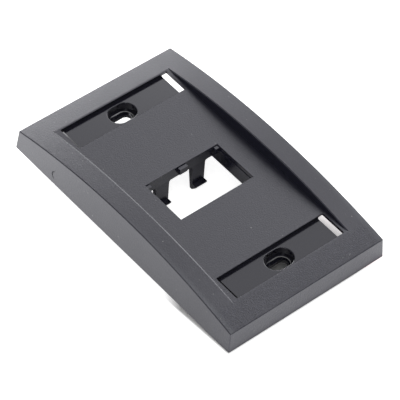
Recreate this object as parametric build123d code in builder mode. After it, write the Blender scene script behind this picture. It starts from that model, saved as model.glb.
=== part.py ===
from build123d import *
import os
from math import radians, tan

# Sizes are in millimetres. The back edge of the plate lies in the plane z = 0, the face
# looks along +Z, and the length of the plate runs along Y.

# Outline of the moulding: a drafted shell under an arched face
plate_width = 69.85
plate_length = 114.3
side_draft = 4.0
end_draft = 5.0
corner_radius = 0.4
core_corner_radius = 0.3
end_height = 8.3
crown_height = 14.5
edge_round = 0.35
wall = 1.5

# Flat panel sunk between the two side rails
panel_height = 10.1
panel_width = 51.3
rail_draft = 4.0
rail_bevel_width = 0.45
rail_bevel_drop = 0.12
panel_skin = 1.5

# Label recesses, one about each screw hole
screw_spacing = 83.3
recess_left_margin = 2.1
recess_right_margin = 1.25
recess_length = 10.65
recess_depth = 1.6
recess_corner_radius = 0.45
recess_skin = 1.5
frame_wall = 0.8
panel_rim_round = 0.1
tab_slot_width = 1.4
snap_slot_width = 1.9
snap_lip = 0.55
slot_relief = 1.4

# Screw holes: an oval head pocket, a countersunk seat and a through slot, all long in X
head_width = 8.0
head_length = 11.0
seat_height = 5.0
seat_width = 6.3
seat_length = 9.3
seat_depth = 1.1
seat_bevel = 0.2
screw_slot_width = 4.3
screw_slot_length = 8.7
boss_wall = 1.3
boss_base_height = 2.5
head_rim_round = 0.25

# Opening for the jack module, with its collar under the panel
opening_width = 32.4
opening_length = 19.0
opening_lip = 1.65
side_step = 0.18
collar_wall = 1.5
collar_base_height = 2.5
latch_wall_base_height = 5.3
latch_wall = 1.8
collar_overrun = 1.2
near_catch_reach = 0.8
near_catch_height = 1.6

# Teeth under the far edge of the opening, which stop the module
tooth_drop = 0.45
tooth_height = 2.5
tooth_reach = 1.45
middle_tooth_width = 3.5
corner_tooth_width = 1.75

# Two spring arms that hang from the far wall of the collar
arm_pitch = 16.3
arm_root_width = 6.1
arm_tip_width = 5.0
arm_lean = 0.7
arm_root_round = 1.0
arm_tip_thickness = 1.3
arm_tip_slant = 0.25
toe_depth = 3.2
toe_reach = 1.75
toe_nose = 0.6
toe_length = 2.8
toe_tip_round = 0.5

# Ribs under the panel
rib_thickness = 1.2
rib_depth = 2.5

# Values worked out from the sizes above
half_top = plate_length / 2 - end_height * tan(radians(end_draft))
arch_rise = crown_height - end_height
arch_radius = (half_top**2 + arch_rise**2) / (2 * arch_rise)
block_height = crown_height + wall
panel_base = panel_height - panel_skin
recess_floor = panel_height - recess_depth
recess_base = recess_floor - recess_skin
recess_left = recess_left_margin - panel_width / 2
recess_right = panel_width / 2 - recess_right_margin
recess_width = recess_right - recess_left
recess_middle = (recess_left + recess_right) / 2
recess_y = screw_spacing / 2
snap_left = recess_right - snap_slot_width
relief_width = snap_slot_width + slot_relief
frame_reach = slot_relief + frame_wall
far_edge = opening_length / 2
collar_x = opening_width / 2 - side_step + collar_wall
collar_far = far_edge + latch_wall + collar_overrun
collar_near = -far_edge - collar_wall
tooth_top = panel_height - tooth_drop
arm_tip_height = -toe_depth - toe_length
edge_margin = 0.01


def drafted_block(inset, height, radius):
    """Rectangle with the wall drafts, inset all round, drawn up to the given height."""
    width = plate_width - 2 * inset
    length = plate_length - 2 * inset
    side_lean = height * tan(radians(side_draft))
    end_lean = height * tan(radians(end_draft))
    with BuildSketch(Plane.XY) as low:
        RectangleRounded(width, length, radius)
    with BuildSketch(Plane.XY.offset(height)) as high:
        RectangleRounded(width - 2 * side_lean, length - 2 * end_lean, radius)
    loft(sections=[low.sketch, high.sketch])


def under_arch(inset):
    """Keeps what lies inside the arched face, moved inwards by the inset."""
    with BuildSketch(Plane.YZ) as arch:
        with Locations((0, crown_height - arch_radius)):
            Circle(arch_radius - inset)
    extrude(arch.sketch, amount=plate_width, both=True, mode=Mode.INTERSECT)


def panel_channel(side_gap, floor, mode):
    """Trough between the side rails, whose walls lean outwards, along the whole plate."""
    half = panel_width / 2 + side_gap
    lean = (block_height - floor) * tan(radians(rail_draft))
    with BuildSketch(Plane.XZ) as trough:
        with BuildLine():
            Polyline(
                (-half, floor),
                (half, floor),
                (half + lean, block_height),
                (-half - lean, block_height),
                close=True,
            )
        make_face()
    extrude(trough.sketch, amount=plate_length, both=True, mode=mode)


def rim_edges(middle, width, length):
    """Edges of the plate in the plane of a rim, inside the box of the rim."""
    x, y, z = middle
    half_x = width / 2 + edge_margin
    half_y = length / 2 + edge_margin
    level = faceplate.edges().filter_by_position(Axis.Z, z - edge_margin, z + edge_margin)
    row = level.filter_by_position(Axis.Y, y - half_y, y + half_y)
    return row.filter_by_position(Axis.X, x - half_x, x + half_x)


# Hollow under the face, left by the core of the mould
with BuildPart() as core:
    drafted_block(wall, block_height, core_corner_radius)
    under_arch(wall)
    panel_channel(wall, panel_base, Mode.SUBTRACT)

# Far wall of the collar with the two spring arms, as seen from the side
with BuildPart() as latch:
    arm_front = far_edge - arm_lean
    with BuildSketch(Plane.YZ):
        with BuildLine():
            Polyline(
                (far_edge, panel_base),
                (far_edge, latch_wall_base_height),
                (arm_front, -toe_depth),
                (arm_front - toe_reach, -toe_depth),
                (arm_front - toe_reach, -toe_depth - toe_nose),
                (arm_front + arm_tip_slant, arm_tip_height),
                (arm_front + arm_tip_thickness, arm_tip_height),
                (far_edge + latch_wall, latch_wall_base_height),
                (far_edge + latch_wall, panel_base),
                close=True,
            )
        make_face()
        tips = vertices().group_by(Axis.Y)[0]
        fillet(tips, toe_tip_round)
    extrude(amount=collar_x, both=True)
    # The same wall as seen from the front: a bar with two tapered legs
    with BuildSketch(Plane.XZ):
        bar_height = panel_base - latch_wall_base_height
        with Locations((0, latch_wall_base_height + bar_height / 2)):
            Rectangle(2 * collar_x, bar_height)
        for side in (-1, 1):
            middle = side * arm_pitch / 2
            with BuildLine():
                Polyline(
                    (middle - arm_root_width / 2, latch_wall_base_height),
                    (middle + arm_root_width / 2, latch_wall_base_height),
                    (middle + arm_tip_width / 2, arm_tip_height),
                    (middle - arm_tip_width / 2, arm_tip_height),
                    close=True,
                )
            make_face()
        roots = vertices().group_by(Axis.Y)[1].sort_by(Axis.X)[1:-1]
        fillet(roots, arm_root_round)
    extrude(amount=plate_length, both=True, mode=Mode.INTERSECT)

# The plate, one moulding
with BuildPart() as faceplate:
    drafted_block(0, block_height, corner_radius)
    under_arch(0)
    # Rounded edge where the face meets the outer walls
    crown = faces().filter_by(GeomType.CYLINDER).sort_by(SortBy.AREA)[-1]
    fillet(crown.edges(), edge_round)
    panel_channel(0, panel_height, Mode.SUBTRACT)
    # Shallow bevel along the inner edge of each side rail
    crown = faces().filter_by(GeomType.CYLINDER).sort_by(SortBy.AREA)[-1]
    rail_rims = crown.edges().filter_by(GeomType.ELLIPSE)
    chamfer(rail_rims, rail_bevel_width, rail_bevel_drop, reference=crown)
    add(core.part, mode=Mode.SUBTRACT)

    # Ribs that stiffen the panel beside the opening
    rib_span = recess_y - recess_length / 2
    for rib_x in (-collar_x + collar_wall / 2, collar_x - collar_wall / 2):
        with BuildSketch(Plane.XY.offset(panel_base)):
            with Locations((rib_x, 0)):
                Rectangle(rib_thickness, 2 * rib_span)
        extrude(amount=-rib_depth)

    # Collar round the opening, open towards the far side under the arms
    with BuildSketch(Plane.XY.offset(panel_base)):
        with Locations((0, (collar_far + collar_near) / 2)):
            Rectangle(2 * collar_x, collar_far - collar_near)
    extrude(amount=collar_base_height - panel_base)
    with BuildSketch(Plane.XY.offset(panel_base)):
        inner_half = collar_x - collar_wall
        with Locations((0, (collar_far - far_edge) / 2)):
            Rectangle(2 * inner_half, collar_far + far_edge)
    extrude(amount=collar_base_height - panel_base, mode=Mode.SUBTRACT)
    add(latch.part)

    # Opening through the panel, with a wider mouth above the step
    with BuildSketch(Plane.XY.offset(panel_height)):
        Rectangle(opening_width - 2 * side_step, opening_length)
    extrude(amount=-panel_skin, mode=Mode.SUBTRACT)
    with BuildSketch(Plane.XY.offset(panel_height)):
        Rectangle(opening_width, opening_length)
    extrude(amount=-opening_lip, mode=Mode.SUBTRACT)

    # Teeth on the far wall
    tooth_places = {
        0: middle_tooth_width,
        -(opening_width - corner_tooth_width) / 2: corner_tooth_width,
        (opening_width - corner_tooth_width) / 2: corner_tooth_width,
    }
    for tooth_x, tooth_width in tooth_places.items():
        with BuildSketch(Plane.XY.offset(tooth_top)):
            with Locations((tooth_x, far_edge - tooth_reach / 2)):
                Rectangle(tooth_width, tooth_reach)
        extrude(amount=-tooth_height)

    # Fixed catches on the near wall, opposite the arms
    with BuildSketch(Plane.XY.offset(collar_base_height)):
        with Locations((0, -far_edge + near_catch_reach / 2)):
            with GridLocations(arm_pitch, 0, 2, 1):
                Rectangle(arm_tip_width, near_catch_reach)
    extrude(amount=near_catch_height)

    # Floors and walls of the label recesses, then the bosses of the screw holes
    for side in (-1, 1):
        middle = side * recess_y
        with BuildSketch(Plane.XY.offset(panel_base)):
            with Locations((recess_middle, middle)):
                Rectangle(recess_width + 2 * frame_reach, recess_length + 2 * frame_reach)
        extrude(amount=recess_base - panel_base)
        with BuildSketch(Plane.XY.offset(recess_base)):
            with Locations((0, middle)):
                SlotOverall(head_length + 2 * boss_wall, head_width + 2 * boss_wall)
        extrude(amount=boss_base_height - recess_base)
        with BuildSketch(Plane.XY.offset(recess_floor)):
            with Locations((recess_middle, middle)):
                RectangleRounded(recess_width, recess_length, recess_corner_radius)
        extrude(amount=recess_depth, mode=Mode.SUBTRACT)
        # Narrow slot along the left end, for the fixed tab of a label cover
        with BuildSketch(Plane.XY.offset(recess_floor)):
            with Locations((recess_left + tab_slot_width / 2, middle)):
                Rectangle(tab_slot_width, recess_length + 2 * slot_relief)
        extrude(amount=-recess_skin, mode=Mode.SUBTRACT)
        # Slot at the right end, for the snap of the cover, with a relief under its lip
        with BuildSketch(Plane.XY.offset(recess_floor)):
            with Locations((recess_right - snap_slot_width / 2, middle)):
                Rectangle(snap_slot_width, recess_length)
        extrude(amount=-recess_skin, mode=Mode.SUBTRACT)
        with BuildSketch(Plane.XY.offset(panel_height - snap_lip)):
            with Locations((snap_left + relief_width / 2, middle)):
                Rectangle(relief_width, recess_length + 2 * slot_relief)
        extrude(amount=recess_base - panel_height + snap_lip, mode=Mode.SUBTRACT)
        # Head pocket, countersunk seat and through slot
        with BuildSketch(Plane.XY.offset(recess_floor)):
            with Locations((0, middle)):
                SlotOverall(head_length, head_width)
        extrude(amount=seat_height - recess_floor, mode=Mode.SUBTRACT)
        with BuildSketch(Plane.XY.offset(seat_height)):
            with Locations((0, middle)):
                SlotOverall(seat_length, seat_width)
        with BuildSketch(Plane.XY.offset(seat_height - seat_depth)):
            with Locations((0, middle)):
                SlotOverall(screw_slot_length, screw_slot_width)
        loft(mode=Mode.SUBTRACT)
        with BuildSketch(Plane.XY.offset(seat_height)):
            with Locations((0, middle)):
                SlotOverall(screw_slot_length, screw_slot_width)
        extrude(amount=boss_base_height - seat_height, mode=Mode.SUBTRACT)

    # Small rounds on the rims of the recesses, the screw holes and the opening
    for side in (-1, 1):
        recess_rim = (recess_middle, side * recess_y, panel_height)
        fillet(rim_edges(recess_rim, recess_width, recess_length), panel_rim_round)
        head_rim = (0, side * recess_y, recess_floor)
        fillet(rim_edges(head_rim, head_length, head_width), head_rim_round)
        seat_rim = (0, side * recess_y, seat_height)
        chamfer(rim_edges(seat_rim, seat_length, seat_width), seat_bevel)
    fillet(rim_edges((0, 0, panel_height), opening_width, opening_length), panel_rim_round)

faceplate.part.label = "faceplate"
os.makedirs("parts", exist_ok=True)
export_step(faceplate.part, "parts/faceplate.step")
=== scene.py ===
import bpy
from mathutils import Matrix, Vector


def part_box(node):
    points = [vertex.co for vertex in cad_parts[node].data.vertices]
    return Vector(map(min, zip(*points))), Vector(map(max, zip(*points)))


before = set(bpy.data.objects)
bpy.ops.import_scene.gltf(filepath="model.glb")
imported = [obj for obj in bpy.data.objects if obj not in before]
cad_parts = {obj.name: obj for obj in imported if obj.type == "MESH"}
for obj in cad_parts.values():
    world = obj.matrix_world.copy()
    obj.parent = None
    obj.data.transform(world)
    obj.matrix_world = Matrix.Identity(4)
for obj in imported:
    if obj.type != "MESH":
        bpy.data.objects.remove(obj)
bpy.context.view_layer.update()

from math import atan2, cos, pi, radians, sin
import bpy
import numpy as np
from mathutils import Matrix, Vector

MM = 0.001
scene = bpy.context.scene
scene.view_settings.view_transform = "Standard"


# Camera
# The photograph looks down on the near left corner of the plate from about 0.9 m, with the
# camera turned a little about its own line of sight.
view_azimuth = -45.134
view_elevation = 48.416
view_roll = radians(6.387)
view_distance = 922.9 * MM
near_clip = view_distance / 10
far_clip = view_distance * 20
aim_right = 0.935 * MM
aim_up = 0.232 * MM
photo_side = 400
pixels_per_metre = 2.8967 / MM
sensor_width = 36.0


def direction(azimuth, elevation):
    """The unit vector at an azimuth round from the near end and an elevation, in degrees."""
    azimuth = radians(azimuth)
    elevation = radians(elevation)
    return Vector((
        sin(azimuth) * cos(elevation),
        -cos(azimuth) * cos(elevation),
        sin(elevation),
    ))


back = direction(view_azimuth, view_elevation)
level_right = direction(view_azimuth + 90, 0)
level_up = back.cross(level_right)
camera_right = level_right * cos(view_roll) + level_up * sin(view_roll)
camera_up = level_up * cos(view_roll) - level_right * sin(view_roll)
eye = camera_right * aim_right + camera_up * aim_up + back * view_distance

camera_data = bpy.data.cameras.new("camera")
camera_data.sensor_width = sensor_width
camera_data.lens = sensor_width * pixels_per_metre * view_distance / photo_side
camera_data.clip_start = near_clip
camera_data.clip_end = far_clip
camera = bpy.data.objects.new("camera", camera_data)
camera.matrix_world = Matrix((
    (camera_right.x, camera_up.x, back.x, eye.x),
    (camera_right.y, camera_up.y, back.y, eye.y),
    (camera_right.z, camera_up.z, back.z, eye.z),
    (0, 0, 0, 1),
))
scene.collection.objects.link(camera)
scene.camera = camera


# Faceplate
# One injection moulding in black ABS: the outer faces came out of a finely textured mould,
# and the recesses, the opening and the screw holes out of a polished one.
class Flow:
    """A number, colour or vector on its way through a material's nodes."""

    def __init__(self, tree, socket=None):
        self.tree = tree
        self.socket = socket

    def feed(self, target):
        """Links this value to a socket."""
        self.tree.links.new(self.socket, target)

    def node(self, kind, settings=None, **inputs):
        """Adds a node with its settings, then fills or links its sockets, and returns it."""
        made = self.tree.nodes.new(kind)
        for name, value in (settings or {}).items():
            setattr(made, name, value)
        for name, value in inputs.items():
            key = int(name[1:]) if name[1:].isdigit() else name.replace("_", " ")
            if isinstance(value, Flow):
                value.feed(made.inputs[key])
            else:
                made.inputs[key].default_value = value
        return made

    def out(self, kind, settings=None, output=0, **inputs):
        """One output of a new node, chosen by its number or its name."""
        return Flow(self.tree, self.node(kind, settings, **inputs).outputs[output])

    def maths(self, operation, a, b=0.0, clamp=False):
        """The result of a Math node on one or two numbers, held to 0 to 1 if clamped."""
        settings = {"operation": operation, "use_clamp": clamp}
        return self.out("ShaderNodeMath", settings, _0=a, _1=b)

    def __add__(self, other):
        return self.maths("ADD", self, other)

    def __radd__(self, other):
        return self.maths("ADD", other, self)

    def __sub__(self, other):
        return self.maths("SUBTRACT", self, other)

    def __rsub__(self, other):
        return self.maths("SUBTRACT", other, self)

    def __mul__(self, other):
        return self.maths("MULTIPLY", self, other)

    def __rmul__(self, other):
        return self.maths("MULTIPLY", other, self)

    def at_least(self, other):
        """This value, or the other one where that is larger."""
        return self.maths("MAXIMUM", self, other)

    def size(self):
        """The value without its sign."""
        return self.maths("ABSOLUTE", self)

    def root(self):
        """The square root of the value."""
        return self.maths("SQRT", self)

    def between(self, low, high):
        """0 at the low value and below, 1 at the high value and above, a straight ramp between."""
        return self.maths("MULTIPLY", self - low, 1 / (high - low), clamp=True)

    def blend(self, first, second):
        """The first colour where this mask is 0, the second where it is 1."""
        return self.out("ShaderNodeMix", {"data_type": "RGBA"}, 2, _0=self, _6=first, _7=second)


def new_material(name):
    """An empty node material, its Principled shader and a Flow to start from."""
    material = bpy.data.materials.new(name)
    material.use_nodes = True
    tree = material.node_tree
    return material, tree.nodes["Principled BSDF"], Flow(tree)


def place_in_mm(start):
    """The place on the piece in millimetres: the whole vector, then its x, y and z."""
    metres = start.out("ShaderNodeTexCoord", output="Object")
    place = start.out("ShaderNodeVectorMath", {"operation": "SCALE"}, _0=metres, Scale=1 / MM)
    axes = start.node("ShaderNodeSeparateXYZ", _0=place)
    return [place] + [Flow(start.tree, socket) for socket in axes.outputs]


def noise(place, size, detail):
    """Noise from 0 to 1 with spots about as wide as the size, and finer ones for the detail."""
    return place.out("ShaderNodeTexNoise", _0=place, Scale=1 / size, Detail=detail)


plastic, shader, start = new_material("black_plastic")
place, x, y, z = place_in_mm(start)

# Polished places: the label recesses, the opening, and the screw holes in the recesses
recess_left = -23.55
recess_right = 24.4
recess_middle_y = 41.65
recess_half_y = 5.33
opening_half_x = 16.2
opening_half_y = 9.5
below_panel_fall = (9.92, 10.02)
below_recess_fall = (8.38, 8.44)
edge_fade = 0.1

below_panel = 1 - z.between(*below_panel_fall)
off_recess_x = (recess_left - x).at_least(x - recess_right)
off_recess_y = (y.size() - recess_middle_y).size() - recess_half_y
off_recess = off_recess_x.at_least(off_recess_y)
off_opening = (x.size() - opening_half_x).at_least(y.size() - opening_half_y)
in_recess = (1 - off_recess.between(0, edge_fade)) * below_panel
in_opening = (1 - off_opening.between(0, edge_fade)) * below_panel
in_pocket = in_recess * (1 - z.between(*below_recess_fall))
textured = 1 - in_recess - in_opening

# Edges: rail bevels, recess rims, mouths of the screw holes, a painted highlight on the screw
# seats, and paler outer rail edges
rail_foot_z = 10.02
rail_wall_x = 25.65
rail_lean = 0.07
bevel_rise = (0.02, 0.06)
bevel_fall = (0.43, 0.49)
recess_rim_fall = (0.15, 0.25)
pocket_half_x = 5.5
pocket_radius = 4.0
pocket_round = 0.3
seat_edge_rise_z = (4.76, 4.8)
seat_edge_fall_z = (4.96, 5.0)
seat_edge_rise_x = (-2.8, 0.6)
rail_edge_rise_x = (31.8, 33.6)
rail_edge_fall_x = (33.9, 34.1)
rail_edge_rise_z = (8.0, 8.25)
rail_edge_fall_y = (-45, 0)

off_rail = x.size() - (z - rail_foot_z) * rail_lean - rail_wall_x
on_bevel = off_rail.between(*bevel_rise) * (1 - off_rail.between(*bevel_fall))
on_bevel = on_bevel * (1 - below_panel)
recess_rim = (1 - off_recess.between(*recess_rim_fall)) * textured
from_line_x = (x.size() - pocket_half_x + pocket_radius).at_least(0)
from_line_y = (y.size() - recess_middle_y).size()
off_pocket = (from_line_x * from_line_x + from_line_y * from_line_y).root() - pocket_radius
pocket_mouth = (1 - off_pocket.between(0, pocket_round)) * (in_recess - in_pocket)
# Painted highlight: a light band on the bevelled edge of each screw seat, where the seat catches
# the light
seat_highlight = z.between(*seat_edge_rise_z) * (1 - z.between(*seat_edge_fall_z))
seat_highlight = seat_highlight * in_pocket * x.between(*seat_edge_rise_x)
# Paler band along the outer top edges of the rails, strongest at the near end and gone by the
# middle
rail_edge = x.size().between(*rail_edge_rise_x) * (1 - x.size().between(*rail_edge_fall_x))
rail_edge = rail_edge * z.between(*rail_edge_rise_z) * (1 - y.between(*rail_edge_fall_y))

# The small bent nick in the left wall, and the coarser near border
nick_y = 36.9
nick_z = 4.1
nick_bend = 0.3
nick_half_width = 0.4
nick_end_fall = (1.5, 1.9)
left_wall_fall = (-34, -33.5)
near_border_fall = (-48.5, -46.5)

along_nick = z - nick_z
off_nick = (y - nick_y + along_nick * along_nick * nick_bend).size()
nick = (1 - off_nick.between(0, nick_half_width)) * (1 - along_nick.size().between(*nick_end_fall))
nick = nick * (1 - x.between(*left_wall_fall))
near_border = 1 - y.between(*near_border_fall)

# Finish: satin on the textured faces, with soft blotches, and smoother elsewhere
satin_roughness = 0.36
bevel_roughness = 0.2
polished_roughness = 0.15
pocket_roughness = 0.18
opening_roughness = 0.24
nick_added_roughness = 0.5
recess_rim_added_roughness = 0.25
noise_middle = 0.5
blotch_size = 11.11
blotch_roughness = 0.08
grain_size = 0.5
grain_roughness = 0.12

grain = noise(place, grain_size, detail=2)
blotch = noise(place, blotch_size, detail=3)
satin = satin_roughness + (blotch - noise_middle) * blotch_roughness
satin = satin + (grain - noise_middle) * grain_roughness
satin = satin + (bevel_roughness - satin_roughness) * on_bevel
satin = satin + nick * nick_added_roughness + recess_rim * recess_rim_added_roughness
roughness = satin * textured + in_recess * polished_roughness + in_opening * opening_roughness
roughness = roughness + in_pocket * (pocket_roughness - polished_roughness)
roughness.feed(shader.inputs["Roughness"])

# Relief in millimetres: the grain, the nick and the round mouths of the screw holes
grain_depth = 0.06
near_border_added_grain = 1.1
nick_depth = 0.9
pocket_round_depth = 0.05

height = grain * textured * (1 + near_border * near_border_added_grain) * grain_depth
height = height - nick * nick_depth - pocket_mouth * pocket_round_depth
relief = start.out("ShaderNodeBump", output="Normal", Strength=1.0, Distance=MM, Height=height)
relief.feed(shader.inputs["Normal"])

# Colour: black with fine dust and a few light specks, paler along the outer rail edges, and a
# painted highlight on the screw seats
plastic_black = (0.005, 0.005, 0.013, 1)
recess_black = (0.005, 0.005, 0.01, 1)
dust_grey = (0.02, 0.02, 0.036, 1)
speck_grey = (0.16, 0.16, 0.16, 1)
rail_edge_grey = (0.036, 0.038, 0.046, 1)
seat_highlight_grey = (0.17, 0.17, 0.17, 1)
plastic_sheen_tint = (0.94, 0.94, 1.0, 1)
plastic_ior = 1.75
dust_size = 0.4
dust_rise = (0.45, 0.75)
dust_share = 0.45
speck_size = 0.9
speck_rise = (0.845, 0.885)

dust = noise(place, dust_size, detail=1).between(*dust_rise) * textured
dust = dust * (dust_share + near_border * (1 - dust_share))
specks = noise(place, speck_size, detail=0).between(*speck_rise) * textured
colour = dust.blend(plastic_black, dust_grey)
colour = rail_edge.blend(colour, rail_edge_grey)
colour = specks.blend(colour, speck_grey)
colour = in_recess.blend(colour, recess_black)
# Painted highlight on the edge of each screw seat
colour = seat_highlight.blend(colour, seat_highlight_grey)
colour.feed(shader.inputs["Base Color"])
shader.inputs["Specular Tint"].default_value = plastic_sheen_tint
shader.inputs["IOR"].default_value = plastic_ior

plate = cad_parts["faceplate"]
plate.data.materials.clear()
plate.data.materials.append(plastic)


# Floor
# A plain white table top. The plate lies on the tips of its spring arms and on the lower
# edge of its end wall, so the table leans a little in the plate's own frame.
plate_low, plate_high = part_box("faceplate")
arm_tip_y = 9.0 * MM
arm_tip_z = plate_low[2]
plate_end_y = plate_low[1]
floor_lean = atan2(-arm_tip_z, arm_tip_y - plate_end_y)
floor_half = 3.0

floor_mesh = bpy.data.meshes.new("table_top")
corner_signs = np.array(((-1, -1), (1, -1), (1, 1), (-1, 1)), dtype=float)
floor_corners = np.column_stack((corner_signs * floor_half, np.zeros(4)))
floor_corners[:, 2] = -(floor_corners[:, 1] - plate_end_y) * np.tan(floor_lean)
floor_mesh.from_pydata(floor_corners.tolist(), [], [(0, 1, 2, 3)])
table_top = bpy.data.objects.new("table_top", floor_mesh)
scene.collection.objects.link(table_top)

# Under the plate the table's seen glow is cut at the near end as a painted shade, with a faint
# pink below the slot there
table_roughness = 0.6
floor_white = (0.86, 0.86, 0.86, 1)
shaded_white = (0.87, 0.69, 0.72, 1)
shade_reach = 0.8
near_end_fall = (-32, -22)
near_slot_rise = (24, 27)
end_shade_fall = (22, 35)

table_white, floor_shader, start = new_material("table_white")
floor_shader.inputs["Roughness"].default_value = table_roughness
floor_shader.inputs["Emission Strength"].default_value = 1.0
place, x, y, z = place_in_mm(start)
off_plate = (x.size() - plate_high[0] / MM).at_least(y.size() - plate_high[1] / MM)
# 0 under the plate and 1 just outside it: the table's glow is cut there as painted shade
open_table = off_plate.between(0, shade_reach)
near_end = (1 - y.between(*near_end_fall)) * (1 - open_table)
# Painted shade: the camera sees less glow on the table under the plate's near end
near_end_painted_shade = (1 - x.between(*end_shade_fall)) * near_end
below_slot = x.between(*near_slot_rise) * near_end
top_white = below_slot.blend(floor_white, shaded_white)
top_white.feed(floor_shader.inputs["Base Color"])

# Seen nearly white; the glow the plastic mirrors is painted light, brighter at the far end and at
# the right, and cut under the plate as painted shade
floor_glow = 0.82
floor_mirror_glow = 1.08
mirror_reach = 90
middle_glow = 0.69
far_added_glow = 1.02
left_glow = 0.8
right_added_glow = 0.4

rays = start.node("ShaderNodeLightPath")
seen = Flow(start.tree, rays.outputs["Is Camera Ray"])
mirrored = Flow(start.tree, rays.outputs["Is Glossy Ray"])
far = y.between(-mirror_reach, mirror_reach)
right = x.between(-mirror_reach, mirror_reach)
painted_mirror_light = (middle_glow + far_added_glow * (far * far)) * (left_glow + right_added_glow * right)
painted_mirror_light = painted_mirror_light * open_table * floor_mirror_glow
glow = seen * (1 - near_end_painted_shade) * floor_glow + mirrored * painted_mirror_light
glow.feed(floor_shader.inputs["Emission Color"])
floor_mesh.materials.append(table_white)


# Light
# A bright studio: an even white room, soft lamps behind and to the right of the plate, which
# its faces mirror, and a lamp just under the camera for the edges in the screw holes.
room_white = (1, 1, 1, 1)
room_strength = 0.8
room_mirror_strength = 0.35
lamp_distance = 1.6


def soft_lamp(name, azimuth, elevation, side, radiance):
    """A square area lamp that faces the origin; its power is pi times radiance times area."""
    data = bpy.data.lights.new(name, "AREA")
    data.shape = "SQUARE"
    data.size = side
    data.energy = pi * radiance * side**2
    towards = direction(azimuth, elevation)
    lamp = bpy.data.objects.new(name, data)
    lamp.location = towards * lamp_distance
    lamp.rotation_euler = towards.to_track_quat("Z", "Y").to_euler()
    scene.collection.objects.link(lamp)


soft_lamp("lamp_main", azimuth=135, elevation=50, side=0.9, radiance=0.59)
soft_lamp("lamp_lower", azimuth=134, elevation=31.5, side=0.8, radiance=0.85)
soft_lamp("lamp_behind", azimuth=134, elevation=22, side=0.6, radiance=1.8)
soft_lamp("lamp_back", azimuth=157, elevation=15, side=0.6, radiance=5.8)
soft_lamp("lamp_right", azimuth=110, elevation=31, side=0.5, radiance=3.2)
soft_lamp("lamp_side", azimuth=90, elevation=62, side=0.6, radiance=2.1)
soft_lamp("lamp_front", azimuth=-45, elevation=42, side=0.4, radiance=4.4)

world = bpy.data.worlds.new("room")
world.use_nodes = True
start = Flow(world.node_tree)
room = world.node_tree.nodes["Background"]
rays = start.node("ShaderNodeLightPath")
seen = Flow(start.tree, rays.outputs["Is Camera Ray"])
mirrored = Flow(start.tree, rays.outputs["Is Glossy Ray"])
strength = room_strength + seen * (1 - room_strength)
strength = strength + mirrored * (room_mirror_strength - room_strength)
strength.feed(room.inputs["Strength"])
room.inputs["Color"].default_value = room_white
scene.world = world
